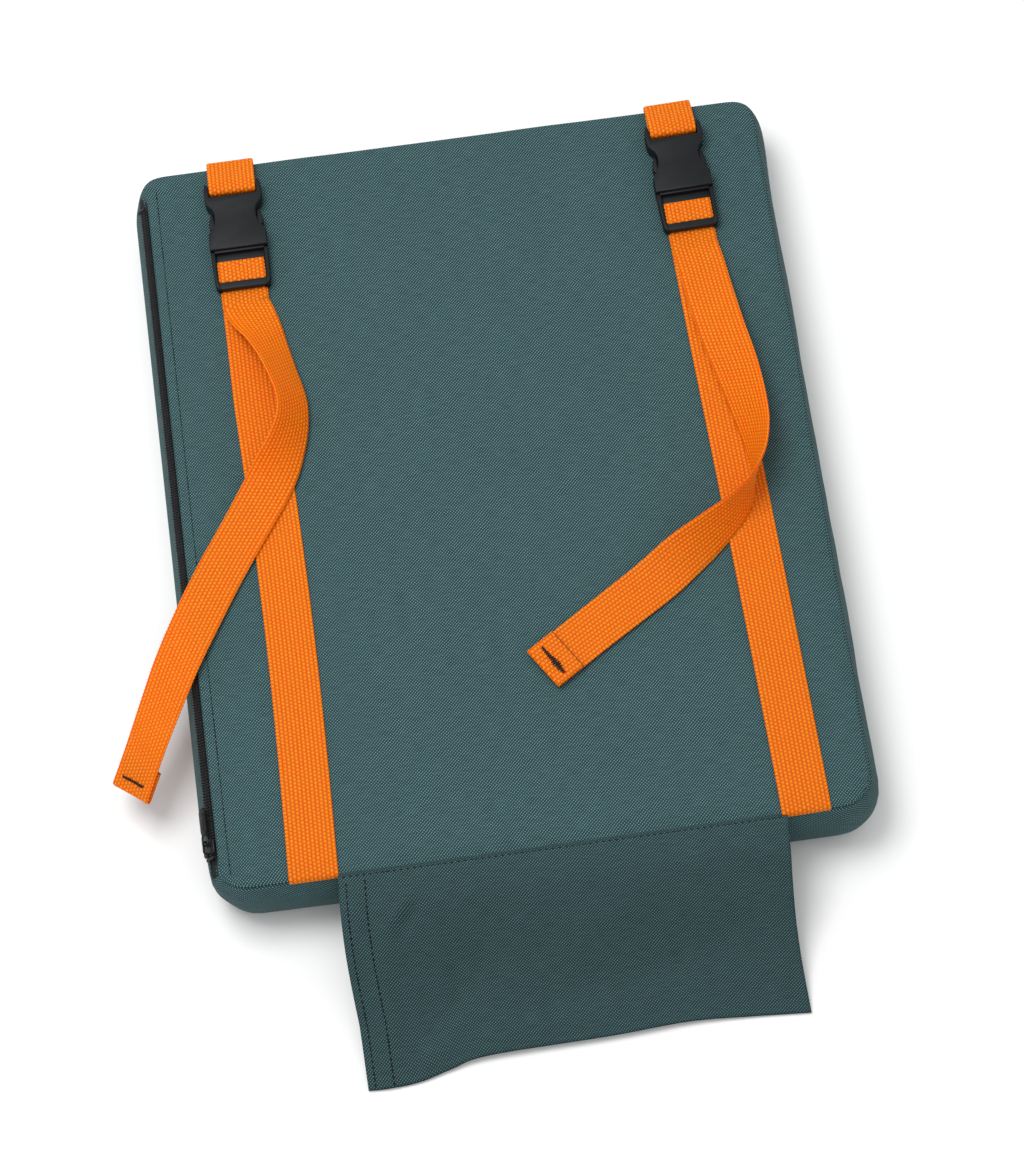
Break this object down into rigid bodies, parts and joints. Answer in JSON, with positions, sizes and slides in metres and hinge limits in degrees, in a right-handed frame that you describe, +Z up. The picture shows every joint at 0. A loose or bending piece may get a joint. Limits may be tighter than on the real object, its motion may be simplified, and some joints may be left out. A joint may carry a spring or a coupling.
{
  "type": "kneeling pad",
  "caption": "Foam kneeling pad in a zipped cloth cover, with buckled webbing straps across one face and a draped cloth pocket on its front seam.",
  "frame": {"origin": "middle of the flat underside that the pad rests on", "axes": "+Z up out of the strap side, +Y along the straps towards the buckles, +X to the right with the zipper on the left"},
  "size_m": [0.3836, 0.5023, 0.0775],
  "materials": {
    "pad_fabric": "coarse woven polyester canvas, matt",
    "foam": "closed cell foam slab",
    "zipper_tape": "black woven tape",
    "zipper_coil": "black nylon coil",
    "zipper_metal": "black enamelled zinc",
    "webbing": "orange woven polypropylene webbing",
    "buckle_plastic": "black moulded acetal, fine satin grain",
    "thread": "black bonded thread"
  },
  "bodies": {
    "cover": {"base_panel": "pad_fabric", "face_panel": "pad_fabric", "boxing_front": "pad_fabric", "boxing_back": "pad_fabric", "boxing_left": "pad_fabric", "boxing_right": "pad_fabric", "foam_core": "foam", "zipper_tape_upper": "zipper_tape", "zipper_tape_lower": "zipper_tape", "zipper_coil_upper": "zipper_coil", "zipper_coil_lower": "zipper_coil", "zipper_top_stop": "zipper_coil", "zipper_bottom_stop": "zipper_coil", "left_strap": "webbing", "left_anchor_loop": "webbing", "left_buckle_female": "buckle_plastic", "left_bartack": "thread", "right_strap": "webbing", "right_anchor_loop": "webbing", "right_buckle_female": "buckle_plastic", "right_bartack": "thread"},
    "slider": {"zipper_slider": "zipper_metal"},
    "pull": {"zipper_pull": "zipper_metal"},
    "pocket": {"pocket_upper_panel": "pad_fabric", "pocket_lower_panel": "pad_fabric"},
    "left_plug": {"left_buckle_male": "buckle_plastic"},
    "left_arm_outer": {"left_prong_outer": "buckle_plastic"},
    "left_arm_inner": {"left_prong_inner": "buckle_plastic"},
    "right_plug": {"right_buckle_male": "buckle_plastic"},
    "right_arm_outer": {"right_prong_outer": "buckle_plastic"},
    "right_arm_inner": {"right_prong_inner": "buckle_plastic"}
  },
  "joints": [
    {"name": "zipper_slide", "type": "slide", "parent": "cover", "child": "slider", "axis": [0, 1, 0], "range_m": [0, 0.355]},
    {"name": "pull_swing", "type": "hinge", "parent": "slider", "child": "pull", "pos_m": [-0.16889, -0.1761, 0.04845], "axis": [0.6156, 0, 0.788], "range_deg": [0, 130]},
    {"name": "pocket_fold", "type": "hinge", "parent": "cover", "child": "pocket", "pos_m": [0, -0.2005, 0.0506], "axis": [-1, 0, 0], "range_deg": [0, 150]},
    {"name": "left_release", "type": "slide", "parent": "cover", "child": "left_plug", "axis": [0, -1, 0], "range_m": [0, 0.032], "deforming": ["left_strap", "left_prong_outer", "left_prong_inner"]},
    {"name": "left_squeeze_outer", "type": "hinge", "parent": "left_plug", "child": "left_arm_outer", "pos_m": [-0.1285, 0.1503, 0.0549], "axis": [0, 0, -1], "range_deg": [0, 8], "stiffness_Nm_per_rad": 0.8},
    {"name": "left_squeeze_inner", "type": "hinge", "parent": "left_plug", "child": "left_arm_inner", "pos_m": [-0.1055, 0.1503, 0.0549], "axis": [0, 0, 1], "range_deg": [0, 8], "stiffness_Nm_per_rad": 0.8},
    {"name": "right_release", "type": "slide", "parent": "cover", "child": "right_plug", "axis": [0.0262, -0.9997, 0], "range_m": [0, 0.032], "deforming": ["right_strap", "right_prong_outer", "right_prong_inner"]},
    {"name": "right_squeeze_outer", "type": "hinge", "parent": "right_plug", "child": "right_arm_outer", "pos_m": [0.13336, 0.15055, 0.0549], "axis": [0, 0, 1], "range_deg": [0, 8], "stiffness_Nm_per_rad": 0.8},
    {"name": "right_squeeze_inner", "type": "hinge", "parent": "right_plug", "child": "right_arm_inner", "pos_m": [0.11037, 0.14995, 0.0549], "axis": [0, 0, -1], "range_deg": [0, 8], "stiffness_Nm_per_rad": 0.8}
  ]
}
